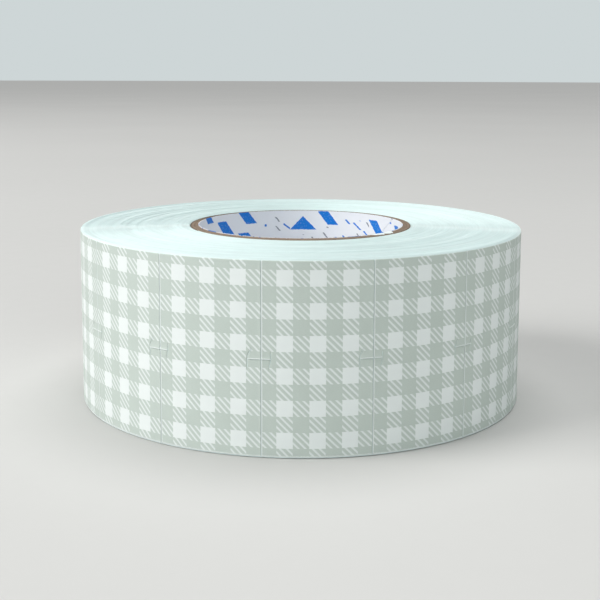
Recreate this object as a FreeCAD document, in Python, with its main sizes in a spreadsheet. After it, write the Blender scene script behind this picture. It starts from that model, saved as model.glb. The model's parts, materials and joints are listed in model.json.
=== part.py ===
"""Roll of self-adhesive price labels for a hand labeler, lying flat.

A paperboard core carries one long strip of backing paper, wound counter-clockwise seen from above,
with the labels stuck side by side on its outer face.  Millimetres and degrees.
Frame: +Z up along the bore, origin on the bore's axis at the face that the roll rests on.
"""

import FreeCAD, Part
import math
import os
import Sketcher

V = FreeCAD.Vector
UP = V(0, 0, 1)

# alias, value, what it is
DRIVING_SIZES = [
    ("StripWidth", 21.5, "width of the backing strip, which is the height of the roll"),
    ("BoreRadius", 13.05, "radius of the hole that goes over the labeler's hub"),
    ("LiningThickness", 0.1, "printed paper inside the core"),
    ("PlyThickness", 0.47, "one ply of the core's paperboard"),
    ("BackingThickness", 0.065, "silicone-coated backing paper"),
    ("LabelThickness", 0.085, "label paper with its adhesive"),
    ("LabelPitch", 12.0, "one label along the strip"),
    ("LabelGap", 0.08, "die-cut line between two labels"),
    ("LabelMargin", 0.1, "backing left bare along each edge of the strip"),
    ("StripStartAngle", 206.4, "turning angle where the strip begins on the core"),
    ("StripTurns", 91.7, "turns from there to the free end"),
    ("SlitKerf", 0.06, "width of the die-cut feed slits"),
    ("SlitLeft", 1.5, "feed slit, reach to the left of the joint between labels"),
    ("SlitRight", 1.05, "feed slit, reach to the right of the joint"),
    ("SlitLeftRise", 1.1, "height of the left cut above the crossbar"),
    ("SlitRightRise", 0.7, "height of the right cut above the crossbar"),
    ("SlitDrop", 0.9, "depth of both end cuts below the crossbar"),
]

TURNS_PER_NODE = 4  # covered turns whose labels share one node
HALF_TURN = 180.0
FULL_TURN = 360.0


def make_sheet(doc):
    """Spreadsheet with one driving size per row: description, value and alias."""
    sheet = doc.addObject("Spreadsheet::Sheet", "Sizes")
    for row, (alias, value, meaning) in enumerate(DRIVING_SIZES, start=1):
        sheet.set(f"A{row}", meaning)
        sheet.set(f"B{row}", str(value))
        sheet.setAlias(f"B{row}", alias)
    doc.recompute()
    return sheet


def origin_plane(body, role):
    return next(p for p in body.Origin.OriginFeatures if p.Role == role)


def centred_circle(sketch, name, expression):
    """Circle about the sketch's origin whose radius follows the sheet."""
    circle = sketch.addGeometry(Part.Circle(V(0, 0, 0), UP, 10.0), False)
    sketch.addConstraint(Sketcher.Constraint("Coincident", circle, 3, -1, 1))
    radius = sketch.addConstraint(Sketcher.Constraint("Radius", circle, 10.0))
    sketch.renameConstraint(radius, name)
    sketch.setExpression("Constraints." + name, expression)


def tube(doc, label, inner, outer, length):
    """A length of tube standing on the XY plane: a ring sketch and a pad."""
    body = doc.addObject("PartDesign::Body", label)
    body.Label = label
    sketch = body.newObject("Sketcher::SketchObject", label + "_section")
    sketch.AttachmentSupport = (origin_plane(body, "XY_Plane"), [""])
    sketch.MapMode = "FlatFace"
    centred_circle(sketch, "InnerRadius", inner)
    centred_circle(sketch, "OuterRadius", outer)
    pad = body.newObject("PartDesign::Pad", label + "_length")
    pad.Profile = sketch
    pad.setExpression("Length", length)
    sketch.Visibility = False
    return body


def make_core(doc):
    """Printed lining and two plies of paperboard, all as long as the strip is wide."""
    lining = "Sizes.BoreRadius + Sizes.LiningThickness"
    joint = lining + " + Sizes.PlyThickness"
    rim = joint + " + Sizes.PlyThickness"
    length = "Sizes.StripWidth"
    return [
        tube(doc, "core_printed_lining", "Sizes.BoreRadius", lining, length),
        tube(doc, "core_inner_board_ply", lining, joint, length),
        tube(doc, "core_outer_board_ply", joint, rim, length),
    ]


class Winding:
    """The wound strip as half circles about two centres, so that it grows by one layer each turn."""

    def __init__(self, sheet):
        self.layer = sheet.BackingThickness + sheet.LabelThickness
        self.start = sheet.StripStartAngle
        self.end = self.start + FULL_TURN * sheet.StripTurns
        core = sheet.BoreRadius + sheet.LiningThickness + 2 * sheet.PlyThickness
        self.first_radius = core - self.layer / 4

    def centre(self, half_turn):
        side = 1 if half_turn % 2 else -1
        return V(side * self.layer / 4, 0, 0)

    def radius(self, half_turn):
        """Radius of the strip's inner face about that half turn's centre."""
        return self.first_radius + half_turn * self.layer / 2

    def mean_radius(self, angle):
        """Radius of the strip's inner face about the core's axis, growing evenly with the turning angle."""
        return self.first_radius + self.layer * (angle / FULL_TURN - 0.25)

    def face_edges(self, start, end, lift):
        """The curve lying lift above the strip's inner face between two turning angles."""
        edges = []
        angle = start
        while angle < end - 1e-9:
            half_turn = math.floor(angle / HALF_TURN + 1e-9)
            stop = min(end, (half_turn + 1) * HALF_TURN)
            circle = Part.Circle(self.centre(half_turn), UP, self.radius(half_turn) + lift)
            first = math.radians(angle % FULL_TURN)
            edges.append(Part.Edge(circle, first, first + math.radians(stop - angle)))
            angle = stop
        return edges

    def stretch(self, start, end, lift, thickness, foot, height):
        """Solid of one stretch of paper between two turning angles."""
        inner = self.face_edges(start, end, lift)
        outer = self.face_edges(start, end, lift + thickness)
        end_line = Part.LineSegment(outer[-1].lastVertex().Point, inner[-1].lastVertex().Point)
        start_line = Part.LineSegment(inner[0].firstVertex().Point, outer[0].firstVertex().Point)
        loop = outer + [end_line.toShape()] + inner[::-1] + [start_line.toShape()]
        face = Part.Face(Part.Wire(loop))
        face.translate(V(0, 0, foot))
        return face.extrude(V(0, 0, height))


def joint_angles(winding, sheet):
    """Turning angles of the joints between labels, from the free end inwards, one pitch apart."""
    lift = sheet.BackingThickness + sheet.LabelThickness / 2
    angles = [winding.end]
    while angles[-1] > winding.start:
        radius = winding.mean_radius(angles[-1]) + lift
        angles.append(angles[-1] - math.degrees(sheet.LabelPitch / radius))
    return angles[:-1]


def make_label(winding, sheet, joints, number):
    """The label between two joints, short of each by half the die-cut line."""
    radius = winding.mean_radius(joints[number])
    trim = math.degrees(sheet.LabelGap / 2 / radius)
    height = sheet.StripWidth - 2 * sheet.LabelMargin
    start, end = joints[number + 1] + trim, joints[number] - trim
    lift, thickness = sheet.BackingThickness, sheet.LabelThickness
    return winding.stretch(start, end, lift, thickness, sheet.LabelMargin, height)


def slit_cutter(winding, sheet, angle):
    """H-shaped feed slit through the outermost layer: a crossbar with an upright at each end."""
    kerf = sheet.SlitKerf
    depth = 3 * winding.layer
    floor = winding.mean_radius(angle) - 0.4 * winding.layer
    middle = sheet.StripWidth / 2
    uprights = [(-sheet.SlitLeft, sheet.SlitLeftRise), (sheet.SlitRight, sheet.SlitRightRise)]
    bars = [Part.makeBox(depth, sheet.SlitLeft + sheet.SlitRight, kerf, V(floor, -sheet.SlitLeft, middle))]
    for side, rise in uprights:
        foot = V(floor, side - kerf / 2, middle - sheet.SlitDrop)
        bars.append(Part.makeBox(depth, kerf, sheet.SlitDrop + rise, foot))
    cutter = bars[0].fuse(bars[1:])
    cutter.rotate(V(0, 0, 0), UP, angle % FULL_TURN)
    return cutter


def add_piece(doc, label, shape):
    """A sub-part whose shape is already made."""
    piece = doc.addObject("Part::Feature", label)
    piece.Label = label
    piece.Shape = shape
    piece.Placement = FreeCAD.Placement()
    return piece


def make_strip(doc, sheet):
    """Backing strip, the labels of the outer turn one by one, and the covered labels by turns."""
    winding = Winding(sheet)
    joints = joint_angles(winding, sheet)
    outer = [n for n in range(len(joints) - 1) if joints[n] > winding.end - FULL_TURN]
    cutters = [slit_cutter(winding, sheet, joints[n]) for n in outer]

    backing = winding.stretch(
        winding.start, winding.end, 0, sheet.BackingThickness, 0, sheet.StripWidth)
    pieces = [add_piece(doc, "backing_strip", backing.cut(cutters))]

    for n in outer:
        label = make_label(winding, sheet, joints, n).cut(cutters[n:n + 2])
        pieces.append(add_piece(doc, f"label_{n + 1:02d}", label))

    covered = {}
    for n in range(len(outer), len(joints) - 1):
        turn = int((winding.end - joints[n]) // FULL_TURN) + 1
        covered.setdefault(turn, []).append(make_label(winding, sheet, joints, n))
    for first in range(2, max(covered) + 1, TURNS_PER_NODE):
        last = min(first + TURNS_PER_NODE - 1, max(covered))
        labels = [label for turn in range(first, last + 1) for label in covered[turn]]
        name = f"covered_labels_turns_{first:02d}_{last:02d}"
        pieces.append(add_piece(doc, name, Part.makeCompound(labels)))
    return pieces


def check(doc, pieces):
    """Stop if any object failed to compute or any sub-part isn't sound solids."""
    for item in doc.Objects:
        if {"Invalid", "Error"} & set(item.State):
            raise RuntimeError(f"{item.Name} did not compute: {item.State}")
    for piece in pieces:
        if piece.Shape.isNull() or not piece.Shape.isValid() or not piece.Shape.Solids:
            raise RuntimeError(f"{piece.Label} has no sound solid")


def main():
    doc = FreeCAD.newDocument("label_roll")
    sheet = make_sheet(doc)
    pieces = make_core(doc) + make_strip(doc, sheet)
    doc.recompute()
    check(doc, pieces)
    os.makedirs("parts", exist_ok=True)
    for piece in pieces:
        piece.Shape.exportStep(f"parts/{piece.Label}.step")
        volume = sum(s.Volume for s in piece.Shape.Solids)
        print(f"{piece.Label}: {len(piece.Shape.Solids)} solids, {volume:.3f} mm3")


main()
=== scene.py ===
"""Finished look of a roll of price labels for a hand labeler, lying flat on a pale studio floor.

A paperboard core with a printed lining carries one long strip of release paper, and self-adhesive
labels printed with a gingham check sit side by side on it.  Metres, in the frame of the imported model:
+Z runs up along the bore, and -Y is the side that the camera sees.
"""

import json
import math

import bpy
import numpy as np
from bpy.props import FloatProperty, FloatVectorProperty, IntProperty, PointerProperty
from mathutils import Euler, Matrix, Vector


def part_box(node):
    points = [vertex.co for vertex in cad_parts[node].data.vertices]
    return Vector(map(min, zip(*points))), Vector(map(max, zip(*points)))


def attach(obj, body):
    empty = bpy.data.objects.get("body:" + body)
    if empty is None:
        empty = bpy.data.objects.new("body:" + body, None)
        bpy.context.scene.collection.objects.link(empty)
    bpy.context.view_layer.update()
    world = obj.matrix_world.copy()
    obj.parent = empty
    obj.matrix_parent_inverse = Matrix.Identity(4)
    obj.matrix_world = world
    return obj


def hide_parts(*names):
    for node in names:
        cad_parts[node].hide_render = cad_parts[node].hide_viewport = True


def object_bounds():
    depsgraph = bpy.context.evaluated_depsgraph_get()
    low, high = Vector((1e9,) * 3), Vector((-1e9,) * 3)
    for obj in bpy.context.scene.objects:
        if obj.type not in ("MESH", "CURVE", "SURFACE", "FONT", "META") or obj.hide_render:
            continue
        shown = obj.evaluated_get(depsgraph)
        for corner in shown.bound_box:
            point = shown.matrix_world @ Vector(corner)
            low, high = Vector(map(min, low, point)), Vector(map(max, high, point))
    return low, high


bl_info = {
    "name": "Price label roll",
    "version": (1, 0, 0),
    "blender": (4, 5, 0),
    "location": "3D Viewport > Sidebar > Label roll",
    "description": "Builds the pieces, finishes and studio stage of a roll of price labels",
    "category": "Object",
}

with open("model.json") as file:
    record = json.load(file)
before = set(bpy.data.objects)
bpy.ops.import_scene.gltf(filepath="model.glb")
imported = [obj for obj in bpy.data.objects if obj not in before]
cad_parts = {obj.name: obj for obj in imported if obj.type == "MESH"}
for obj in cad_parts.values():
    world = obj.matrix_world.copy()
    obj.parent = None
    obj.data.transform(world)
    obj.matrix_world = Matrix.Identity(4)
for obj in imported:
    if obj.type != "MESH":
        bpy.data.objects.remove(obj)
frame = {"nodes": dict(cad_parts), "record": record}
CAD_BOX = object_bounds()

MM = 0.001
BODY = "root"

STRIP_FOOT, STRIP_HEAD = (corner.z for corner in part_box("backing_strip"))
CORE_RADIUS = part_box("core_outer_board_ply")[1].x
PLY_JOINT_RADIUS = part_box("core_inner_board_ply")[1].x
LINING_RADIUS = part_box("core_printed_lining")[1].x
BORE_RADIUS = MM * next(
    mount["dims"]["r_mm"] for mount in frame["record"]["mounts"] if mount["name"] == "core_bore")
OUTER_LABEL_NODES = sorted(name for name in frame["nodes"] if name.startswith("label_"))
COVERED_LABEL_NODES = sorted(name for name in frame["nodes"] if name.startswith("covered_labels"))


# -------- sizes and colours


def number(name, description, default, **kind):
    return FloatProperty(name=name, description=description, default=default, **kind)


def length(name, description, default):
    return number(name, description, default, subtype="DISTANCE", unit="LENGTH", precision=6)


def direction(name, description, default):
    return number(name, description, default, subtype="ANGLE", unit="ROTATION")


def colour(name, description, default):
    return FloatVectorProperty(
        name=name, description=description, default=default, subtype="COLOR", size=3, min=0.0, max=1.0)


class StripSizes(bpy.types.PropertyGroup):
    """The wound strip and the labels on it."""

    backing: length("Backing paper", "Thickness of the release paper", 0.065 * MM)
    label: length("Label", "Thickness of the label paper with its adhesive", 0.085 * MM)
    pitch: length("Label pitch", "One label and one gap along the strip", 12.0 * MM)
    gap: length("Gap", "Die-cut line between two labels", 0.08 * MM)
    margin: length("Margin", "Backing left bare along each edge of the strip", 0.1 * MM)
    start: direction("Start angle", "Turning angle where the strip begins on the core", math.radians(206.4))
    turns: number("Turns", "Turns from the core to the free end", 91.7)
    wander: length("Wander", "How far the turns stand out of line with each other", 0.14 * MM)
    outer_rise: length("Outer rise", "Height of the outermost turn's lower edge", 0.07 * MM)
    samples: IntProperty(name="Samples", description="Points round one covered turn", default=96)
    seed: IntProperty(name="Seed", description="Start of the random wander of the turns", default=11)


class LabelSizes(bpy.types.PropertyGroup):
    """Edges and feed slits of the labels on the outer turn."""

    chamfer: length("Edge rounding", "How far a cut edge of the label is rounded down", 0.028 * MM)
    edge_lift: length("Edge lift", "How far the ends of a label curl off the roll", 0.045 * MM)
    kerf: length("Slit width", "Width of the cut feed slits", 0.06 * MM)
    slit_left: length("Slit left", "Reach of the feed slit to the left of the joint", 1.5 * MM)
    slit_right: length("Slit right", "Reach of the feed slit to the right of the joint", 1.05 * MM)
    rise_left: length("Left rise", "Height of the left cut above the crossbar", 1.1 * MM)
    rise_right: length("Right rise", "Height of the right cut above the crossbar", 0.7 * MM)
    drop: length("Drop", "Depth of both end cuts below the crossbar", 0.9 * MM)
    left_sweep: length("Left sweep", "How far the left cut curves in at its top", 0.5 * MM)
    right_slant: length("Right slant", "How far the right cut slants in at its foot", 0.22 * MM)
    flap_curl: length("Flap curl", "How far the flap above the crossbar curls off the roll", 0.20 * MM)
    ripple: length("Ripple", "Unevenness of the outer face", 0.012 * MM)


class LabelLook(bpy.types.PropertyGroup):
    """Paper and print of the labels."""

    paper: colour("Label paper", "Bare face paper", (0.85, 0.895, 0.89))
    ink: colour("Check ink", "Sage ink of the gingham", (0.54, 0.61, 0.565))
    cut_edge: colour("Cut edge", "Paper fibres along the cut edges", (0.86, 0.92, 0.905))
    check: length("Check", "Side of one square of the gingham", 1.75 * MM)
    stripe: length("Stripe spacing", "Distance along the strip between two diagonal stripes", 0.735 * MM)
    stripe_share: number(
        "Stripe share", "Share of the spacing that a light stripe takes", 0.38, min=0.0, max=1.0,
        subtype="FACTOR")


class CoreLook(bpy.types.PropertyGroup):
    """Release paper, paperboard and lining."""

    backing: colour("Release paper", "Tint of the release paper", (0.835, 0.945, 0.94))
    board: colour("Paperboard", "Cut end and faces of the core's board", (0.23, 0.174, 0.13))
    lining: colour("Lining paper", "Bare lining inside the core", (0.93, 0.94, 0.97))
    blue: colour("Blue ink", "Printed marks on the lining", (0.0, 0.20, 0.72))
    grey: colour("Grey ink", "Small printed ticks on the lining", (0.25, 0.27, 0.30))
    seam_width: length("Seam", "Width of the butt joint in the lining", 0.12 * MM)
    seam_angle: direction("Seam angle", "Where the lining's joint ends at the top", math.radians(20.0))
    seam_slope: number("Seam slope", "Lean of the lining's joint, as turn over rise along the wall", 1.35)


class StageLook(bpy.types.PropertyGroup):
    """Floor, light and camera."""

    floor: colour("Floor", "Plain pale floor", (0.63, 0.624, 0.61))
    sky: colour("Room light", "Even light from all round", (0.88, 0.96, 0.97))
    sky_strength: number("Room strength", "Brightness of the room", 0.15)
    backdrop_strength: number("Backdrop strength", "Brightness of the backdrop that the camera sees", 0.70)
    key_power: number("Key light", "Power of the soft light on the left", 15.4, unit="POWER")
    fill_power: number("Fill light", "Power of the soft light in front", 4.9, unit="POWER")
    top_strength: number("Top light", "Strength of the soft light overhead", 1.80)
    lens: number("Lens", "Focal length in millimetres", 65.45)
    shift: FloatVectorProperty(
        name="Shift", description="Level and upright lens shift", default=(-0.0018, -0.15), size=2)
    distance: length("Camera distance", "From the roll's axis to the camera, level", 139.59 * MM)
    height: length("Camera height", "Height of the camera over the floor", 40.60 * MM)
    tilt: direction("Tilt", "How far the camera looks down", 0.1241)
    roll: direction("Roll", "Turn of the camera about its view", -0.0034)


class RollSettings(bpy.types.PropertyGroup):
    """Everything that a user would change."""

    strip: PointerProperty(type=StripSizes, name="Strip", description="Sizes of the wound strip")
    label: PointerProperty(type=LabelSizes, name="Labels", description="Edges and slits of the labels")
    label_look: PointerProperty(type=LabelLook, name="Label look", description="Label paper and print")
    core_look: PointerProperty(type=CoreLook, name="Core look", description="Core and release paper")
    stage: PointerProperty(type=StageLook, name="Stage", description="Floor, light and camera")


# -------- mesh helpers


def swept_loop(rings, closed):
    """Faces of a closed body swept through rings of points, given as ring, point, xyz.

    The points of a ring run from the axis outwards along the foot and back along the head.
    """
    count, points = rings.shape[:2]
    spans = count if closed else count - 1
    here = np.arange(spans)[:, None] * points + np.arange(points)[None, :]
    beside = np.arange(spans)[:, None] * points + (np.arange(points)[None, :] + 1) % points
    total = count * points
    quads = np.stack([here, (here + points) % total, (beside + points) % total, beside], axis=-1)
    faces = quads.reshape(-1, 4).tolist()
    if not closed:
        faces.append(list(range(points)))
        faces.append(list(range(total - 1, total - points - 1, -1)))
    return rings.reshape(-1, 3), faces


def add_object(name, data):
    thing = bpy.data.objects.new(name, data)
    bpy.context.scene.collection.objects.link(thing)
    return thing


def finish_piece(
        name, vertices, faces, materials, nodes, face_slots=None, flat=None, rim=None, crease=35.0):
    """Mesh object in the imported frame, with its finish, body, slot and the CAD nodes it stands for."""
    mesh = bpy.data.meshes.new(name)
    mesh.from_pydata(vertices.tolist(), [], faces)
    for material in materials:
        mesh.materials.append(material)
    if face_slots is not None:
        mesh.polygons.foreach_set("material_index", np.asarray(face_slots, np.int32))
    if flat is not None:
        corners = np.zeros(len(mesh.loops), np.int32)
        mesh.loops.foreach_get("vertex_index", corners)
        layer = mesh.uv_layers.new(name="Flat")
        layer.data.foreach_set("uv", np.asarray(flat, np.float32)[corners].ravel())
    if rim is not None:
        mesh.attributes.new("rim", "FLOAT", "POINT").data.foreach_set("value", np.asarray(rim, np.float32))
    mesh.polygons.foreach_set("use_smooth", np.ones(len(mesh.polygons), bool))
    mesh.set_sharp_from_angle(angle=math.radians(crease))
    mesh.update()
    if mesh.validate():
        raise RuntimeError(f"{name} had broken faces")
    piece = add_object(name, mesh)
    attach(piece, BODY)
    if nodes:
        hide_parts(*nodes)
    return piece


def rounded_section(inner, outer, foot, head, radius, steps=4):
    """Closed section of a tube wall as radius and height, from the inner foot corner outwards."""
    corners = [
        (inner + radius, foot + radius, 180.0), (outer - radius, foot + radius, 270.0),
        (outer - radius, head - radius, 0.0), (inner + radius, head - radius, 90.0)]
    section = []
    for r, z, first in corners:
        for angle in np.radians(np.linspace(first, first + 90.0, steps)):
            section.append((r + radius * math.cos(angle), z + radius * math.sin(angle)))
    return np.array(section)


def ring_points(angles, radii, heights):
    """Points at these angles, radii and heights, broadcast against each other."""
    angles, radii, heights = np.broadcast_arrays(angles, radii, heights)
    return np.stack([radii * np.cos(angles), radii * np.sin(angles), heights], axis=-1)


def smooth_noise(places, spacing, generator):
    """Smooth values from 0 to 1 along places, with a new random height every spacing."""
    knots = places / spacing
    values = generator.random(int(knots.max() - knots.min()) + 3)
    along = knots - knots.min()
    lower = np.floor(along).astype(int)
    share = along - lower
    share = share * share * (3 - 2 * share)
    return values[lower] * (1 - share) + values[lower + 1] * share


class Winding:
    """The wound strip as half circles about two centres, so that it grows by one layer each turn."""

    def __init__(self, strip):
        self.layer = strip.backing + strip.label
        self.start = strip.start
        self.end = strip.start + math.tau * strip.turns
        self.first_radius = CORE_RADIUS - self.layer / 4
        self.step = math.tau / strip.samples
        self.width = STRIP_HEAD - STRIP_FOOT - strip.wander
        self.set_wander(strip)

    def set_wander(self, strip):
        """Height of the strip's lower edge all along it: bands of turns, with unevenness within each."""
        generator = np.random.default_rng(strip.seed)
        self.places = np.arange(self.start, self.end + self.step, self.step)
        bands, turns, dents = (
            smooth_noise(self.places, spacing * math.tau, generator) for spacing in (7.3, 2.6, 0.31))
        mixed = 0.50 * bands + 0.44 * turns + 0.06 * dents
        mixed = (mixed - mixed.min()) / (mixed.max() - mixed.min())
        to_end = np.clip((self.end - self.places) / (1.6 * math.tau) - 0.6, 0.0, 1.0)
        from_core = np.clip((self.places - self.start) / (1.5 * math.tau) - 0.6, 0.0, 1.0)
        self.rises = strip.outer_rise * (1 - to_end) + strip.wander * mixed * to_end * from_core

    def face(self, angles, lift):
        """Points lying lift above the strip's inner face."""
        half_turn = np.floor(angles / math.pi + 1e-9)
        centre = np.where(half_turn % 2 == 1, self.layer / 4, -self.layer / 4)
        radius = self.first_radius + half_turn * self.layer / 2 + lift
        return centre + radius * np.cos(angles), radius * np.sin(angles)

    def chord(self, angles, lift):
        """The same on straight chords between even steps, so that neighbouring turns lie flush."""
        before = np.floor(angles / self.step + 1e-6) * self.step
        share = (angles - before) / self.step
        x0, y0 = self.face(before, lift)
        x1, y1 = self.face(before + self.step - 1e-7, lift)
        return x0 + (x1 - x0) * share, y0 + (y1 - y0) * share

    def mean_radius(self, angle):
        """Radius of the strip's inner face about the core's axis, growing evenly with the angle."""
        return self.first_radius + self.layer * (angle / math.tau - 0.25)

    def foot(self, angles):
        """Height of the strip's lower edge."""
        return STRIP_FOOT + np.interp(angles, self.places, self.rises)

    def even_angles(self, start, end):
        """The two ends and every even step between them."""
        first = math.floor(start / self.step + 1e-6) + 1
        last = math.ceil(end / self.step - 1e-6) - 1
        return np.concatenate([[start], np.arange(first, last + 1) * self.step, [end]])

    def stretch(self, start, end, lift, thickness, margin):
        """Vertices and faces of one stretch of paper, short of the strip's edges by margin."""
        angles = self.even_angles(start, end)
        inner, outer = self.chord(angles, lift), self.chord(angles, lift + thickness)
        foot = self.foot(angles) + margin
        head = self.foot(angles) + self.width - margin
        rings = np.stack([
            np.stack([x, y, z], axis=-1)
            for (x, y), z in ((inner, foot), (outer, foot), (outer, head), (inner, head))], axis=1)
        return swept_loop(rings, closed=False)


def joint_angles(winding, strip):
    """Angles of the joints between labels, from the free end inwards, one pitch apart."""
    lift = strip.backing + strip.label / 2
    angles = [winding.end]
    while angles[-1] > winding.start:
        angles.append(angles[-1] - strip.pitch / (winding.mean_radius(angles[-1]) + lift))
    return angles[:-1]


# -------- node helpers


def arithmetic(operation):
    """Python operator on a Signal that adds a math node."""
    def add_node(signal, *others):
        return signal.wires.math(operation, signal, *others)
    return add_node


class Signal:
    """An output of a node.  Plain arithmetic on it adds math nodes."""

    __add__, __sub__ = arithmetic("ADD"), arithmetic("SUBTRACT")
    __mul__, __truediv__ = arithmetic("MULTIPLY"), arithmetic("DIVIDE")
    __gt__, __lt__ = arithmetic("GREATER_THAN"), arithmetic("LESS_THAN")
    __abs__ = arithmetic("ABSOLUTE")

    def __init__(self, wires, socket):
        self.wires, self.socket = wires, socket

    def __rsub__(self, other):
        return self.wires.math("SUBTRACT", other, self)


class Wiring:
    """Adds nodes to one tree and links them up."""

    COLUMN, ROW, ROWS = 180, 190, 6

    def __init__(self, tree):
        self.tree = tree

    def node(self, kind, **settings):
        node = self.tree.nodes.new(kind)
        place = len(self.tree.nodes)
        node.location = (place // self.ROWS * self.COLUMN, -(place % self.ROWS) * self.ROW)
        for key, value in settings.items():
            setattr(node, key, value)
        return node

    def feed(self, socket, value):
        if isinstance(value, Signal):
            self.tree.links.new(value.socket, socket)
        else:
            socket.default_value = value

    def signals(self, node):
        return [Signal(self, output) for output in node.outputs]

    def add(self, kind, inputs=(), output=0, **settings):
        """One output of a new node, whose inputs are given in order, or by name or number."""
        node = self.node(kind, **settings)
        for key, value in inputs.items() if isinstance(inputs, dict) else enumerate(inputs):
            self.feed(node.inputs[key], value)
        return Signal(self, node.outputs[output])

    def math(self, operation, *values, clamp=False):
        return self.add("ShaderNodeMath", values, operation=operation, use_clamp=clamp)

    def either(self, mask, other):
        """Two masks added up, and held at 1."""
        return self.math("ADD", mask, other, clamp=True)

    def distance(self, x, y):
        return self.math("SQRT", x * x + y * y)

    def scaled(self, vector, factors):
        return self.add("ShaderNodeVectorMath", (vector, factors), operation="MULTIPLY")

    def split(self, vector):
        node = self.node("ShaderNodeSeparateXYZ")
        self.feed(node.inputs[0], vector)
        return self.signals(node)

    def joined(self, x, y, z):
        return self.add("ShaderNodeCombineXYZ", (x, y, z))

    def noise(self, vector, scale, detail=2.0, roughness=0.5):
        inputs = {"Vector": vector, "Scale": scale, "Detail": detail, "Roughness": roughness}
        return self.add("ShaderNodeTexNoise", inputs, "Fac")

    def spread(self, value, low, high, to_low=0.0, to_high=1.0, smooth=False):
        inputs = {"Value": value, "From Min": low, "From Max": high, "To Min": to_low, "To Max": to_high}
        kind = "SMOOTHSTEP" if smooth else "LINEAR"
        return self.add("ShaderNodeMapRange", inputs, "Result", interpolation_type=kind)

    def between(self, share, low, high):
        """Low where the share is 0 and high where it is 1."""
        return self.spread(share, 0.0, 1.0, low, high)

    def mix(self, factor, first, second, blend="MIX"):
        inputs = {"Factor": factor, 6: first, 7: second}
        return self.add("ShaderNodeMix", inputs, 2, data_type="RGBA", blend_type=blend, clamp_result=True)


class Finish(Wiring):
    """A new material with a Principled shader, and the wiring of its tree."""

    def __init__(self, name, specular):
        self.material = bpy.data.materials.new(name)
        self.material.use_nodes = True
        super().__init__(self.material.node_tree)
        self.sockets = self.tree.nodes["Principled BSDF"].inputs
        self.sockets["Specular IOR Level"].default_value = specular

    def place(self):
        """Object coordinates in metres."""
        return self.add("ShaderNodeTexCoord", output="Object")

    def place_in_mm(self):
        return self.scaled(self.place(), (1000.0, 1000.0, 1000.0))

    def flat_in_mm(self):
        """Coordinates on the unrolled paper."""
        return self.add("ShaderNodeUVMap", output="UV", uv_map="Flat")

    def rough(self, height, low, high):
        """Roughness that follows a noisy height."""
        return self.spread(height, 0.3, 0.7, low, high)

    def lay(self, tint, tone, roughness):
        """Base colour, made lighter and darker by a tone about 1, and roughness."""
        toned = self.mix(1.0, tint, self.joined(tone, tone, tone), "MULTIPLY")
        self.feed(self.sockets["Base Color"], toned)
        self.feed(self.sockets["Roughness"], roughness)

    def emboss(self, height, depth, strength):
        """Bump that a height of 1 raises by this depth."""
        inputs = {"Strength": strength, "Distance": depth, "Height": height}
        self.feed(self.sockets["Normal"], self.add("ShaderNodeBump", inputs, "Normal"))


def shared_effect(inputs, outputs):
    """Turns a function that wires an effect into one that places it, as a node group built once."""
    def wrap(wire_up):
        name = wire_up.__name__.replace("_", " ")

        def build():
            tree = bpy.data.node_groups.new(name, "ShaderNodeTree")
            for way, labels in (("INPUT", inputs), ("OUTPUT", outputs)):
                for label in labels:
                    kind = "NodeSocketVector" if label == "Vector" else "NodeSocketFloat"
                    tree.interface.new_socket(label, in_out=way, socket_type=kind)
            wires = Wiring(tree)
            given = wires.signals(wires.node("NodeGroupInput"))[:len(inputs)]
            results = wire_up(wires, *given)
            for socket, value in zip(wires.node("NodeGroupOutput").inputs, results):
                wires.feed(socket, value)
            return tree

        def place(wires, **values):
            node = wires.node("ShaderNodeGroup", node_tree=bpy.data.node_groups.get(name) or build())
            for key, value in values.items():
                wires.feed(node.inputs[key.replace("_", " ")], value)
            return wires.signals(node)
        return place
    return wrap


def shared_finish(name, specular):
    """Turns a function that wires a finish into one that hands out its material, made once."""
    def wrap(wire_up):
        def find(settings):
            if name not in bpy.data.materials:
                wire_up(Finish(name, specular), settings)
            return bpy.data.materials[name]
        return find
    return wrap


def opaque(value):
    """A colour as red, green, blue and alpha."""
    return (*value, 1.0)


# -------- effects


@shared_effect(("Vector", "Fineness", "Mottle"), ("Height", "Tone"))
def paper_grain(wires, place, fineness, mottle):
    """Short matted fibres: an even height for the bump and a slow mottle for the tone."""
    fibres = wires.noise(wires.scaled(place, (1.0, 1.0, 0.45)), fineness, 4.0, 0.6)
    tooth = wires.noise(place, fineness * 3.1, 2.0, 0.5)
    clouds = wires.noise(place, 0.55, 3.0, 0.55)
    height = fibres * 0.7 + tooth * 0.3
    return height, (clouds + height * 0.6 - 0.8) * mottle + 1.0


@shared_effect(("Vector", "Contrast"), ("Tone", "Height"))
def turn_streaks(wires, place, contrast):
    """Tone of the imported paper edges: fine rings that come and go round the roll."""
    x, y, _ = wires.split(place)
    radius = wires.distance(x, y)
    side_x, side_y = x / radius, y / radius
    fine = wires.noise(wires.joined(side_x * 0.9, side_y * 0.9, radius * 5.0), 1.0, 3.0, 0.7)
    broad = wires.noise(wires.joined(side_x, side_y, radius * 0.8), 1.2, 2.0, 0.5)
    return (fine * 0.65 + broad * 0.35 - 0.5) * contrast + 1.0, fine


@shared_effect(("Vector", "Rim", "Fineness"), ("Mask",))
def edge_wear_and_highlight(wires, place, rim, fineness):
    """Mask of worn ink and painted highlight along the rim of a sheet: full at a cut edge, broken up by
    fibres.
    """
    ragged = wires.noise(place, fineness, 3.0, 0.6) - 0.5
    return [wires.spread(rim + ragged * 0.5, 0.30, 0.75, smooth=True)]


def cell_of(wires, coordinate, size):
    """Number of the cell that a coordinate falls in, counted from the middle one, and the place in it."""
    cells = coordinate / size
    number = wires.math("FLOOR", cells + 0.5)
    return number, cells - number


def is_odd(wires, number):
    return wires.math("PINGPONG", number, 1.0) > 0.5


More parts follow.
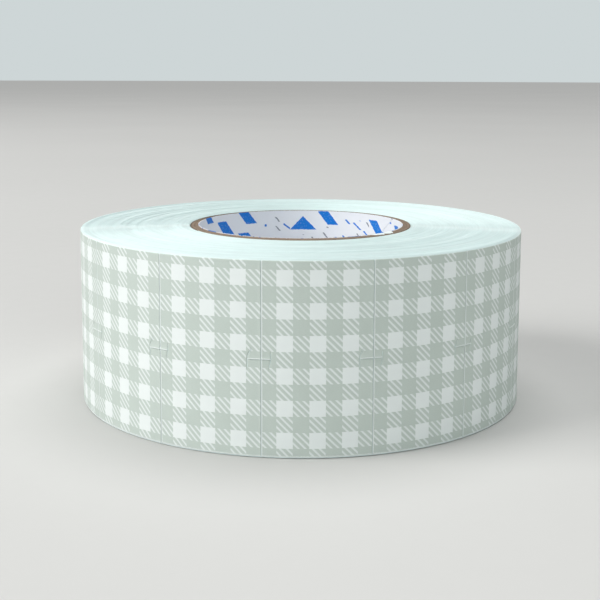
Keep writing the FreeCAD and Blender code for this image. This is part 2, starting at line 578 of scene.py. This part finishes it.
@shared_effect(("Vector", "Check", "Stripe", "Stripe Share"), ("Ink",))
def gingham_print(wires, flat, check, stripe, share):
    """Ink of a gingham check: solid squares, bare squares, and diagonal stripes where bands cross."""
    wobble = (wires.noise(flat, 9.0, 2.0) - 0.5) * 0.05
    u, v, _ = wires.split(flat)
    column, along = cell_of(wires, u + wobble, check)
    row, across = cell_of(wires, v + wobble, check)
    dark_column, bare_row = is_odd(wires, column), is_odd(wires, row)
    mixed = wires.math("COMPARE", dark_column, bare_row, 0.1)
    solid = dark_column * (1.0 - bare_row)
    phase = wires.math("FRACT", (along + across) * check / stripe)
    edge, blur, faint = share * 0.5, 0.11, 0.14
    stripes = wires.spread(abs(phase - 0.5), edge - blur, edge + blur, faint, 1.0, smooth=True)
    return [wires.either(solid, mixed * stripes)]


def scattered(wires, u, v, width, seed):
    """Place from the middle of a jittered cell in millimetres, and three random values of that cell."""
    depth = width * 0.8
    column, x = cell_of(wires, u, width)
    row, y = cell_of(wires, v + column * 0.37 * depth, depth)
    dice = wires.node("ShaderNodeTexWhiteNoise", noise_dimensions="3D")
    wires.feed(dice.inputs["Vector"], wires.joined(column, row, seed))
    kind, values = wires.signals(dice)
    a, b, c = wires.split(values)
    x = (x + wires.between(a, -0.15, 0.15)) * width
    y = (y + wires.between(b, -0.15, 0.15)) * depth
    return x, y, kind, a, c


def slanted_bar(wires, x, y, lean, half_length, half_depth):
    """Distance outside a bar whose ends lean over."""
    return wires.math("MAXIMUM", abs(x + y * lean) - half_length, abs(y) - half_depth)


@shared_effect(("Vector", "Large", "Small"), ("Blue", "Grey"))
def lining_marks(wires, flat, large, small):
    """Generic packing-paper print: a few large slanted blocks among small strokes, rings, dots and ticks."""
    ragged = (wires.noise(flat, 3.0, 2.0) - 0.5) * 0.22
    u, v, _ = wires.split(flat)

    def mark(shape, kind, low, high):
        inside = wires.spread(shape + ragged, -0.05, 0.03, 1.0, 0.0, smooth=True)
        return inside * ((kind > low) * (kind < high))

    x, y, kind, a, c = scattered(wires, u, v, large, 5.0)
    block = slanted_bar(wires, x, y, -0.8, wires.between(a, 0.8, 1.4), wires.between(c, 0.7, 1.1))
    wedge = wires.math("MAXIMUM", abs(x) + y - 1.0, y * -1.0 - 0.9)
    blue = wires.either(mark(block, kind, 0.0, 0.36), mark(wedge, kind, 0.36, 0.44))
    free = kind > 0.44

    x, y, kind, a, c = scattered(wires, u, v, small, 15.0)
    reach = wires.distance(x, y)
    stroke = slanted_bar(wires, x, y, wires.between(a, -1.4, 0.5), 0.19, 0.48)
    ring = abs(reach - 0.38) - 0.11
    dot = reach - (c * 0.2 + 0.18)
    tick = slanted_bar(wires, x, y, -0.8, 0.13, 0.36)
    for shape, low, high in ((stroke, 0.0, 0.27), (ring, 0.27, 0.37), (dot, 0.37, 0.52)):
        blue = wires.either(blue, mark(shape, kind, low, high) * free)
    grey = mark(tick, kind, 0.52, 0.70) * free
    worn = wires.spread(wires.noise(flat, 5.0, 4.0, 0.7), 0.30, 0.42, 0.45, 1.0)
    return blue * worn, grey * worn


# -------- finishes


@shared_finish("printed label paper", 0.32)
def printed_label_finish(finish, settings):
    """Matte face paper with the gingham print, bare along its rubbed edges and where a painted highlight is
    laid as pale paper.
    """
    look, flat = settings.label_look, finish.flat_in_mm()
    height, tone = paper_grain(finish, Vector=flat, Fineness=5.5, Mottle=0.07)
    [ink] = gingham_print(
        finish, Vector=flat, Check=look.check / MM, Stripe=look.stripe / MM, Stripe_Share=look.stripe_share)
    rim = finish.add("ShaderNodeAttribute", output="Fac", attribute_name="rim")
    [worn] = edge_wear_and_highlight(finish, Vector=flat, Rim=rim, Fineness=6.0)
    specks = finish.noise(finish.scaled(flat, (1.0, 5.0, 1.0)), 3.5, 3.0, 0.65)
    # The worn mask takes off ink for real wear at the cuts and as a painted highlight at the labels' left
    # ends, feet and flap edges.
    ink = ink * finish.spread(specks, 0.25, 0.7, 0.84, 1.0) * (1.0 - worn * 0.85)
    tint = finish.mix(ink, opaque(look.paper), opaque(look.ink))
    finish.lay(tint, tone, finish.rough(height, 0.62, 0.78) - ink * 0.08)
    finish.emboss(height + ink * 0.12, 0.012 * MM, 0.6)


@shared_finish("cut label edge", 0.2)
def cut_label_finish(finish, settings):
    """Fibres of the label paper where the die and the slitter cut it."""
    place = finish.place_in_mm()
    height, tone = paper_grain(finish, Vector=place, Fineness=9.0, Mottle=0.10)
    streaks, _ = turn_streaks(finish, Vector=place, Contrast=0.22)
    finish.lay(opaque(settings.label_look.cut_edge), tone * streaks, finish.rough(height, 0.82, 0.95))
    finish.emboss(height, 0.015 * MM, 0.7)


@shared_finish("release paper", 0.45)
def release_paper_finish(finish, settings):
    """Dense calendered release paper, whose cut edges make the roll's end face."""
    place = finish.place_in_mm()
    height, tone = paper_grain(finish, Vector=place, Fineness=7.0, Mottle=0.05)
    streaks, rings = turn_streaks(finish, Vector=place, Contrast=0.44)
    finish.lay(opaque(settings.core_look.backing), tone * streaks, finish.rough(rings, 0.48, 0.66))
    finish.emboss(height, 0.008 * MM, 0.5)


@shared_finish("core paperboard", 0.2)
def board_finish(finish, settings):
    """Grey-brown paperboard with long fibres, dark specks and soft felted ends."""
    board, place = settings.core_look.board, finish.place_in_mm()
    height, tone = paper_grain(finish, Vector=place, Fineness=4.0, Mottle=0.35)
    flecks = finish.spread(finish.noise(place, 7.5, 3.0, 0.7), 0.60, 0.72)
    strands = finish.noise(finish.scaled(place, (1.0, 1.0, 6.0)), 2.4, 4.0, 0.65)
    strands = finish.spread(strands, 0.35, 0.65)
    pale = [min(1.0, part * 1.75) for part in board]
    dark = [part * 0.42 for part in board]
    tint = finish.mix(strands * 0.55, opaque(board), opaque(pale))
    tint = finish.mix(flecks * 0.6, tint, opaque(dark))
    finish.lay(tint, tone, finish.rough(height, 0.80, 0.97))
    finish.emboss(height + strands, 0.03 * MM, 0.7)


@shared_finish("printed core lining", 0.4)
def lining_finish(finish, settings):
    """Smooth white lining paper with generic blue and grey marks."""
    look, flat = settings.core_look, finish.flat_in_mm()
    height, tone = paper_grain(finish, Vector=flat, Fineness=4.5, Mottle=0.06)
    blue, grey = lining_marks(finish, Vector=flat, Large=4.0, Small=1.7)
    tint = finish.mix(grey, opaque(look.lining), opaque(look.grey))
    tint = finish.mix(blue, tint, opaque(look.blue))
    finish.lay(tint, tone, finish.rough(height, 0.50, 0.66) - finish.either(blue, grey) * 0.12)
    finish.emboss(height, 0.012 * MM, 0.5)


@shared_finish("pale studio floor", 0.25)
def floor_finish(finish, settings):
    """Plain pale matte floor with a very slow variation."""
    place = finish.place()
    clouds = finish.spread(finish.noise(place, 6.0, 3.0), 0.3, 0.7, 0.97, 1.0)
    finish.lay(opaque(settings.stage.floor), clouds, finish.rough(finish.noise(place, 300.0), 0.7, 0.85))


# -------- pieces


def make_board_ply(name, node, inner, outer, settings, seed):
    """One ply of the core: a felted tube with uneven cut ends, the upper one lower at the back."""
    corner, fray_depth, swell, slope = 0.07 * MM, 0.035 * MM, 0.02 * MM, 0.08 * MM
    segments, closing = 540, 20
    mid_height, half_height = (STRIP_HEAD + STRIP_FOOT) / 2, (STRIP_HEAD - STRIP_FOOT) / 2
    section = rounded_section(inner, outer, STRIP_FOOT, STRIP_HEAD, corner)
    quarter = len(section) // 4
    across = [inner + (outer - inner) * share for share in (0.3, 0.5, 0.7)]
    section = np.concatenate([
        section[:quarter], [(r, STRIP_FOOT) for r in across], section[quarter:3 * quarter],
        [(r, STRIP_HEAD) for r in reversed(across)], section[3 * quarter:]])
    generator = np.random.default_rng(seed)
    angles = np.linspace(0.0, math.tau, segments, endpoint=False)
    radii, heights = (np.tile(section[:, axis], (segments, 1)) for axis in (0, 1))
    at_end = np.abs(heights - mid_height) > half_height - corner
    inward = np.where(heights > mid_height, -1.0, 1.0)
    fray = fray_depth * generator.random(heights.shape)
    slow = swell * smooth_noise(angles, 0.35, generator)[:, None]
    slow[-closing:] += (slow[0] - slow[-1]) * np.linspace(0.0, 1.0, closing)[:, None]
    heights += np.where(at_end, inward * (fray + slow), 0.0)
    radii += np.where(at_end, np.sign((inner + outer) / 2 - radii) * fray * 0.3, 0.0)
    heights -= np.where(at_end & (inward < 0), slope * (1 + np.sin(angles))[:, None], 0.0)
    vertices, faces = swept_loop(ring_points(angles[:, None], radii, heights), closed=True)
    return finish_piece(name, vertices, faces, [board_finish(settings)], [node], crease=60.0)


def make_lining(settings):
    """Printed lining: a thin sleeve wound on the slant, with an open butt joint running down it."""
    look = settings.core_look
    segments, rows = 360, 44
    clearance, joint_depth, unevenness = 0.005 * MM, 0.06 * MM, 0.025 * MM
    seam = look.seam_width / 2 / BORE_RADIUS
    joint_lines = np.array([0.0, seam, 1.6 * seam])
    plain = np.linspace(3 * seam, math.tau - 3 * seam, segments)
    lines = np.concatenate([joint_lines, plain, math.tau - joint_lines[:0:-1]])
    in_joint = (lines <= seam * 1.01) | (lines >= math.tau - seam * 1.01)
    head, foot = STRIP_HEAD - clearance, STRIP_FOOT + clearance
    levels = np.linspace(foot, head, rows)
    lean = look.seam_slope / BORE_RADIUS
    uneven = unevenness * np.random.default_rng(5).random(len(lines))
    rings, around = [], []
    for line, dip, short in zip(lines, np.where(in_joint, joint_depth, 0.0), uneven):
        turned = look.seam_angle + line - lean * (levels - head)
        top = levels - short * (levels == head)
        inside = ring_points(turned, BORE_RADIUS + dip, top)
        outside = ring_points(turned, LINING_RADIUS - clearance, top)
        rings.append(np.concatenate([outside, inside[::-1]]))
        around.append(np.concatenate([turned, turned[::-1]]) * BORE_RADIUS / MM)
    vertices, faces = swept_loop(np.array(rings), closed=True)
    up = np.concatenate([levels, levels[::-1]]) / MM
    flat = np.stack([np.concatenate(around), np.tile(up, len(lines))], axis=-1)
    return finish_piece(
        "core_lining", vertices, faces, [lining_finish(settings)], ["core_printed_lining"],
        flat=flat, crease=60.0)


def make_lining_burr(settings):
    """Frayed scrap of lining paper folded out over the board's end."""
    start, end, lines = math.radians(-50.0), math.radians(-33.0), 90
    inner, reach = BORE_RADIUS + 0.02 * MM, 1.35 * MM
    thickness, head = 0.035 * MM, STRIP_HEAD - 0.002 * MM
    generator = np.random.default_rng(21)
    angles = np.linspace(start, end, lines)
    swell = np.sin(np.linspace(0.0, math.pi, lines)) ** 0.6
    lumps = 0.7 * smooth_noise(angles, 0.048, generator) + 0.3 * smooth_noise(angles, 0.011, generator)
    torn = reach * (0.12 + 0.88 * swell * (0.15 + 0.85 * lumps))
    curl = 0.03 * MM * smooth_noise(angles, 0.03, generator)
    rings = []
    for angle, width, low in zip(angles, torn, curl):
        radii = inner + width * np.array([0.0, 0.6, 1.0])
        over = ring_points(angle, radii, head - low * np.array([0.2, 0.0, 1.0]))
        rings.append(np.concatenate([over - (0.0, 0.0, thickness), over[::-1]]))
    vertices, faces = swept_loop(np.array(rings), closed=False)
    return finish_piece(
        "lining_burr", vertices, faces, [cut_label_finish(settings)], [], crease=50.0)


def make_backing_strip(settings):
    """The whole strip of release paper, wound as one ribbon."""
    strip = settings.strip
    winding = Winding(strip)
    vertices, faces = winding.stretch(winding.start, winding.end, 0.0, strip.backing, 0.0)
    return finish_piece(
        "wound_backing_strip", vertices, faces, [release_paper_finish(settings)],
        ["backing_strip"])


def make_covered_labels(settings):
    """Every label under the outermost turn, each a closed curved sheet of its own."""
    strip = settings.strip
    winding = Winding(strip)
    joints = joint_angles(winding, strip)
    vertices, faces, used = [], [], 0
    for number in range(len(OUTER_LABEL_NODES), len(joints) - 1):
        trim = strip.gap / 2 / winding.mean_radius(joints[number])
        points, sides = winding.stretch(
            joints[number + 1] + trim, joints[number] - trim, strip.backing, strip.label, strip.margin)
        vertices.append(points)
        faces += [[corner + used for corner in side] for side in sides]
        used += len(points)
    return finish_piece(
        "covered_labels", np.concatenate(vertices), faces, [cut_label_finish(settings)],
        COVERED_LABEL_NODES)


def fading(distance, reach):
    """1 at no distance, falling evenly to 0 at this reach."""
    return np.clip(1 - distance / reach, 0.0, 1.0)


def grid_lines(stops, widest):
    """Grid lines through every stop, and no further apart than widest."""
    stops = np.unique(np.round(stops, 9))
    spans = [
        np.linspace(low, high, max(1, math.ceil((high - low) / widest)), endpoint=False)
        for low, high in zip(stops, stops[1:])]
    return np.append(np.concatenate(spans), stops[-1])


class LabelSheet:
    """One die-cut label laid flat: its grid, its slits and how far each point stands off the roll."""

    def __init__(self, settings, half_width, curl_left, curl_right):
        self.sizes, self.strip = settings.label, settings.strip
        self.half_length = (self.strip.pitch - self.strip.gap) / 2
        self.half_width = half_width
        joint = self.strip.pitch / 2
        self.cuts = [
            (self.sizes.slit_right - joint, -1.0, self.sizes.rise_right, curl_left),
            (joint - self.sizes.slit_left, 1.0, self.sizes.rise_left, curl_right)]
        self.u, self.v = self.lines()
        self.kept = self.cells()

    def lines(self):
        """Grid lines along u and v: close together at the rims and beside the cuts."""
        sizes, half_kerf = self.sizes, self.sizes.kerf / 2
        rims = [0.0, 0.03 * MM, 0.12 * MM, 0.3 * MM]
        beside_cut = (-half_kerf, half_kerf, 0.06 * MM, 0.2 * MM, 0.5 * MM)
        u = [side * (self.half_length - rim) for rim in rims for side in (-1, 1)]
        for cut, _, _, _ in self.cuts:
            u += [cut + away * side for away in beside_cut for side in (-1, 1)]
        v = [side * (self.half_width - rim) for rim in rims for side in (-1, 1)]
        v += [-sizes.drop - 0.3 * MM, -0.25 * MM, -half_kerf - 0.03 * MM, -half_kerf, half_kerf,
              half_kerf + 0.10 * MM, 0.2 * MM, 0.3 * MM, 0.5 * MM, sizes.rise_left + 0.5 * MM]
        v += list(np.linspace(-sizes.drop, -0.45 * MM, 4))
        v += [sizes.rise_right, sizes.rise_left, (sizes.rise_right + sizes.rise_left) / 2]
        return grid_lines(u, 0.5 * MM), grid_lines(v, 0.9 * MM)

    def cells(self):
        """True for each cell of paper, false where a slit runs."""
        u = ((self.u[1:] + self.u[:-1]) / 2)[:, None]
        v = ((self.v[1:] + self.v[:-1]) / 2)[None, :]
        half_kerf = self.sizes.kerf / 2
        kept = np.ones((len(self.u) - 1, len(self.v) - 1), bool)
        for cut, side, rise, _ in self.cuts:
            upright = (np.abs(u - cut) < half_kerf) & (v > -self.sizes.drop) & (v < rise)
            crossbar = (side * (u - cut) > 0) & (np.abs(v) < half_kerf)
            kept &= ~(upright | crossbar)
        return kept

    def bent(self, u, v):
        """The u of each point once the end cuts sweep and slant as the die cuts them."""
        sizes = self.sizes
        (right_cut, *_), (left_cut, *_) = self.cuts
        high = np.clip(v / sizes.rise_left, 0.0, 1.0) ** 2 * fading(v - sizes.rise_left, 1.0 * MM)
        low = np.clip(-v / sizes.drop, 0.0, 1.0) * fading(-(v + sizes.drop), 0.8 * MM)
        swept = sizes.left_sweep * fading(np.abs(u - left_cut), 1.3 * MM) * high
        return u + swept - sizes.right_slant * fading(np.abs(u - right_cut), 0.9 * MM) * low

    def stand(self, u, v):
        """How far the paper stands off the roll: curled ends and lifted flaps."""
        stand = self.sizes.edge_lift * np.exp((np.abs(u) - self.half_length) / (0.16 * MM))
        for cut, side, rise, curl in self.cuts:
            in_flap = (side * (u - cut) > 0) & (v > 0) & (v < rise)
            stand = stand + np.where(in_flap, curl * fading(v, rise) ** 4, 0.0)
        return stand

    def bare(self, u, v):
        """How much bare paper shows: worn ink at the cuts, painted highlight at the left end and the foot,
        and both along the flaps' lower edges.
        """
        # Painted highlight: pale paper along each label's left end and along its foot.
        bare = np.maximum(
            fading(self.half_length + u, 0.20 * MM), fading(self.half_width + v, 0.30 * MM))
        bare = np.maximum(bare, np.where(self.rim(), 0.45, 0.0))
        # Along each flap's lower edge: worn ink together with a painted highlight of pale paper.
        for cut, side, _, _ in self.cuts:
            over_crossbar = (side * (u - cut) > 0) & (v > 0)
            above = fading(v - self.sizes.kerf / 2, 0.20 * MM)
            bare = np.maximum(bare, np.where(over_crossbar, above, 0.0))
        return bare

    def rim(self):
        """True for each grid point that touches a cut or an edge of the label."""
        around = np.zeros((len(self.u), len(self.v)), int)
        for over in (0, 1):
            for along in (0, 1):
                around[over:over + self.kept.shape[0], along:along + self.kept.shape[1]] += self.kept
        return around < 4

    def faces(self):
        """Outer faces, inner faces and cut faces, as corner numbers in the outer and inner grids."""
        rows = len(self.v)
        under = len(self.u) * rows
        i, j = np.nonzero(self.kept)
        a, b = i * rows + j, (i + 1) * rows + j
        outer = np.stack([a, b, b + 1, a + 1], axis=-1)
        inner = outer[:, ::-1] + under
        padded = np.pad(self.kept, 1)
        sides = []
        edges = ((0, -1, a, b), (1, 0, b, b + 1), (0, 1, b + 1, a + 1), (-1, 0, a + 1, a))
        for step_i, step_j, first, last in edges:
            open_edge = ~padded[i + 1 + step_i, j + 1 + step_j]
            sides.append(np.stack([last, first, first + under, last + under], axis=-1)[open_edge])
        return outer, inner, np.concatenate(sides)


def flap_room(winding, strip, angle):
    """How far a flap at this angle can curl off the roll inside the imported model's box."""
    across, along = math.cos(angle), math.sin(angle)
    reach_x = (CAD_BOX[1].x if across > 0 else -CAD_BOX[0].x) / max(abs(across), 1e-9)
    reach_y = (CAD_BOX[1].y if along > 0 else -CAD_BOX[0].y) / max(abs(along), 1e-9)
    return max(0.0, min(reach_x, reach_y) - winding.mean_radius(angle) - strip.backing - strip.label)


def make_outer_label(settings, winding, joints, number, curls):
    """One label of the outermost turn, with its share of the feed slits at both ends."""
    strip, sizes = settings.strip, settings.label
    sheet = LabelSheet(settings, winding.width / 2 - strip.margin, curls[number + 1], curls[number])
    u, v = np.meshgrid(sheet.u, sheet.v, indexing="ij")
    across = sheet.bent(u, v)
    middle = (joints[number] + joints[number + 1]) / 2
    turned = middle + across / (winding.mean_radius(middle) + strip.backing + strip.label / 2)
    stand = sheet.stand(u, v)
    ripple = sizes.ripple * (0.5 + 0.3 * np.sin(17.0 * turned) + 0.2 * np.sin(41.0 * turned + v / MM))
    top = strip.label - np.where(sheet.rim(), sizes.chamfer, 0.0) - ripple
    heights = winding.foot(turned) + winding.width / 2 + v
    grids = []
    for lift in (strip.backing + top + stand, strip.backing + stand):
        x, y = winding.face(turned, lift)
        grids.append(np.stack([x, y, heights], axis=-1).reshape(-1, 3))
    vertices = np.clip(np.concatenate(grids), CAD_BOX[0], CAD_BOX[1])
    outer, inner, sides = sheet.faces()
    flat = np.tile(np.stack([across, v], axis=-1).reshape(-1, 2) / MM, (2, 1))
    # Each point's share of worn ink and painted highlight, shown as pale paper by the printed finish.
    rim = np.tile(sheet.bare(u, v).ravel(), 2)
    face_slots = [0] * len(outer) + [1] * (len(inner) + len(sides))
    finishes = [printed_label_finish(settings), cut_label_finish(settings)]
    return finish_piece(
        f"printed_label_{number + 1:02d}", vertices, np.concatenate([outer, inner, sides]).tolist(), finishes,
        [OUTER_LABEL_NODES[number]], face_slots=face_slots, flat=flat, rim=rim, crease=48.0)


# -------- stage


def make_floor(settings):
    """Wide pale disc that the roll stands on."""
    radius, rings, spokes = 6.0, 24, 96
    radii = radius * np.linspace(0.0, 1.0, rings + 1)[1:] ** 2.5
    angles = np.linspace(0.0, math.tau, spokes, endpoint=False)
    points = ring_points(angles[None, :], radii[:, None], 0.0).reshape(-1, 3)
    sides = [(1 + k, 1 + (k + 1) % spokes) for k in range(spokes)]
    faces = [[0, here, after] for here, after in sides]
    for near in range(0, (rings - 1) * spokes, spokes):
        far = near + spokes
        faces += [[near + here, far + here, far + after, near + after] for here, after in sides]
    mesh = bpy.data.meshes.new("floor")
    mesh.from_pydata([(0.0, 0.0, 0.0)] + points.tolist(), [], faces)
    mesh.materials.append(floor_finish(settings))
    add_object("floor", mesh)


def add_light(name, kind, strength, **settings):
    """Light of this kind and strength, with more of its settings by name."""
    data = bpy.data.lights.new(name, kind)
    data.energy = strength
    for key, value in settings.items():
        setattr(data, key, value)
    return add_object(name, data)


def add_softbox(name, place, power, tint):
    """Square soft light that points at the middle of the roll."""
    light = add_light(name, "AREA", power, shape="SQUARE", size=0.8, color=tint)
    light.location = place
    towards = Vector((0.0, 0.0, STRIP_HEAD / 2)) - light.location
    light.rotation_euler = towards.to_track_quat("-Z", "Y").to_euler()


def make_lights(settings):
    """A large soft key on the left, a weak fill in front, a soft top light and an even pale room."""
    stage = settings.stage
    left, front = (-1.18, -0.28, 0.71), (0.38, -1.16, 0.46)
    add_softbox("key_softbox", left, stage.key_power, (1.0, 0.995, 0.98))
    add_softbox("fill_softbox", front, stage.fill_power, (0.94, 1.0, 0.985))
    top = add_light("top_light", "SUN", stage.top_strength, angle=0.8)
    top.rotation_euler = (-0.2, 0.1, 0.0)
    world = bpy.data.worlds.new("studio")
    world.use_nodes = True
    wires = Wiring(world.node_tree)
    background = world.node_tree.nodes["Background"].inputs
    background["Color"].default_value = opaque(stage.sky)
    seen = wires.add("ShaderNodeLightPath", output="Is Camera Ray")
    wires.feed(background["Strength"], wires.between(seen, stage.sky_strength, stage.backdrop_strength))
    bpy.context.scene.world = world
    bpy.context.scene.view_settings.view_transform = "Standard"


def make_camera(settings):
    """Camera a little above the roll, looking along +Y and slightly down."""
    stage = settings.stage
    data = bpy.data.cameras.new("camera")
    data.lens, data.sensor_width = stage.lens, 36.0
    data.shift_x, data.shift_y = stage.shift
    data.clip_start, data.clip_end = 0.01, 20.0
    camera = add_object("camera", data)
    camera.location = (0.0, -stage.distance, stage.height)
    camera.rotation_euler = Euler((math.radians(90.0) - stage.tilt, stage.roll, 0.0))
    bpy.context.scene.camera = camera


# -------- operators


class LABELROLL_OT_core_board(bpy.types.Operator):
    """Build the two plies of the paperboard core"""

    bl_idname = "labelroll.core_board"
    bl_label = "Core board"

    def execute(self, context):
        settings = context.scene.label_roll
        make_board_ply("core_inner_ply", "core_inner_board_ply", LINING_RADIUS, PLY_JOINT_RADIUS, settings, 3)
        make_board_ply("core_outer_ply", "core_outer_board_ply", PLY_JOINT_RADIUS, CORE_RADIUS, settings, 4)
        return {"FINISHED"}


class LABELROLL_OT_core_lining(bpy.types.Operator):
    """Build the printed lining of the core and its frayed scrap"""

    bl_idname = "labelroll.core_lining"
    bl_label = "Core lining"

    def execute(self, context):
        make_lining(context.scene.label_roll)
        make_lining_burr(context.scene.label_roll)
        return {"FINISHED"}


class LABELROLL_OT_backing_strip(bpy.types.Operator):
    """Wind the strip of release paper onto the core"""

    bl_idname = "labelroll.backing_strip"
    bl_label = "Backing strip"

    def execute(self, context):
        make_backing_strip(context.scene.label_roll)
        return {"FINISHED"}


class LABELROLL_OT_covered_labels(bpy.types.Operator):
    """Lay the labels of every covered turn"""

    bl_idname = "labelroll.covered_labels"
    bl_label = "Covered labels"

    def execute(self, context):
        make_covered_labels(context.scene.label_roll)
        return {"FINISHED"}


class LABELROLL_OT_outer_labels(bpy.types.Operator):
    """Lay the printed, slit labels of the outermost turn"""

    bl_idname = "labelroll.outer_labels"
    bl_label = "Outer labels"

    def execute(self, context):
        settings = context.scene.label_roll
        winding = Winding(settings.strip)
        joints = joint_angles(winding, settings.strip)
        generator = np.random.default_rng(8)
        count = len(OUTER_LABEL_NODES)
        curls = settings.label.flap_curl * (0.55 + 0.45 * generator.random(count + 1))
        rooms = [flap_room(winding, settings.strip, angle) for angle in joints[:count + 1]]
        curls = np.minimum(curls, rooms)
        curls[0] = curls[count] = 0.0
        for number in range(count):
            make_outer_label(settings, winding, joints, number, curls)
        return {"FINISHED"}


class LABELROLL_OT_stage(bpy.types.Operator):
    """Set the floor, the lights and the camera"""

    bl_idname = "labelroll.stage"
    bl_label = "Stage"

    def execute(self, context):
        settings = context.scene.label_roll
        make_floor(settings)
        make_lights(settings)
        make_camera(settings)
        return {"FINISHED"}


OPERATORS = (
    LABELROLL_OT_stage, LABELROLL_OT_core_board, LABELROLL_OT_core_lining, LABELROLL_OT_backing_strip,
    LABELROLL_OT_covered_labels, LABELROLL_OT_outer_labels)


class LABELROLL_PT_sidebar(bpy.types.Panel):
    """Pieces and settings of the label roll"""

    bl_idname = "LABELROLL_PT_sidebar"
    bl_label = "Label roll"
    bl_space_type = "VIEW_3D"
    bl_region_type = "UI"
    bl_category = "Label roll"

    def draw(self, context):
        for operator in OPERATORS:
            self.layout.operator(operator.bl_idname)
        settings = context.scene.label_roll
        for name in RollSettings.__annotations__:
            box = self.layout.box()
            part = getattr(settings, name)
            for key in part.__annotations__:
                box.prop(part, key)


CLASSES = (
    StripSizes, LabelSizes, LabelLook, CoreLook, StageLook, RollSettings, *OPERATORS, LABELROLL_PT_sidebar)


def register():
    for item in CLASSES:
        bpy.utils.register_class(item)
    bpy.types.Scene.label_roll = PointerProperty(type=RollSettings)


def unregister():
    del bpy.types.Scene.label_roll
    for item in reversed(CLASSES):
        bpy.utils.unregister_class(item)


def main():
    register()
    bpy.ops.labelroll.stage()
    bpy.ops.labelroll.core_board()
    bpy.ops.labelroll.core_lining()
    bpy.ops.labelroll.backing_strip()
    bpy.ops.labelroll.covered_labels()
    bpy.ops.labelroll.outer_labels()


if __name__ == "__main__":
    main()
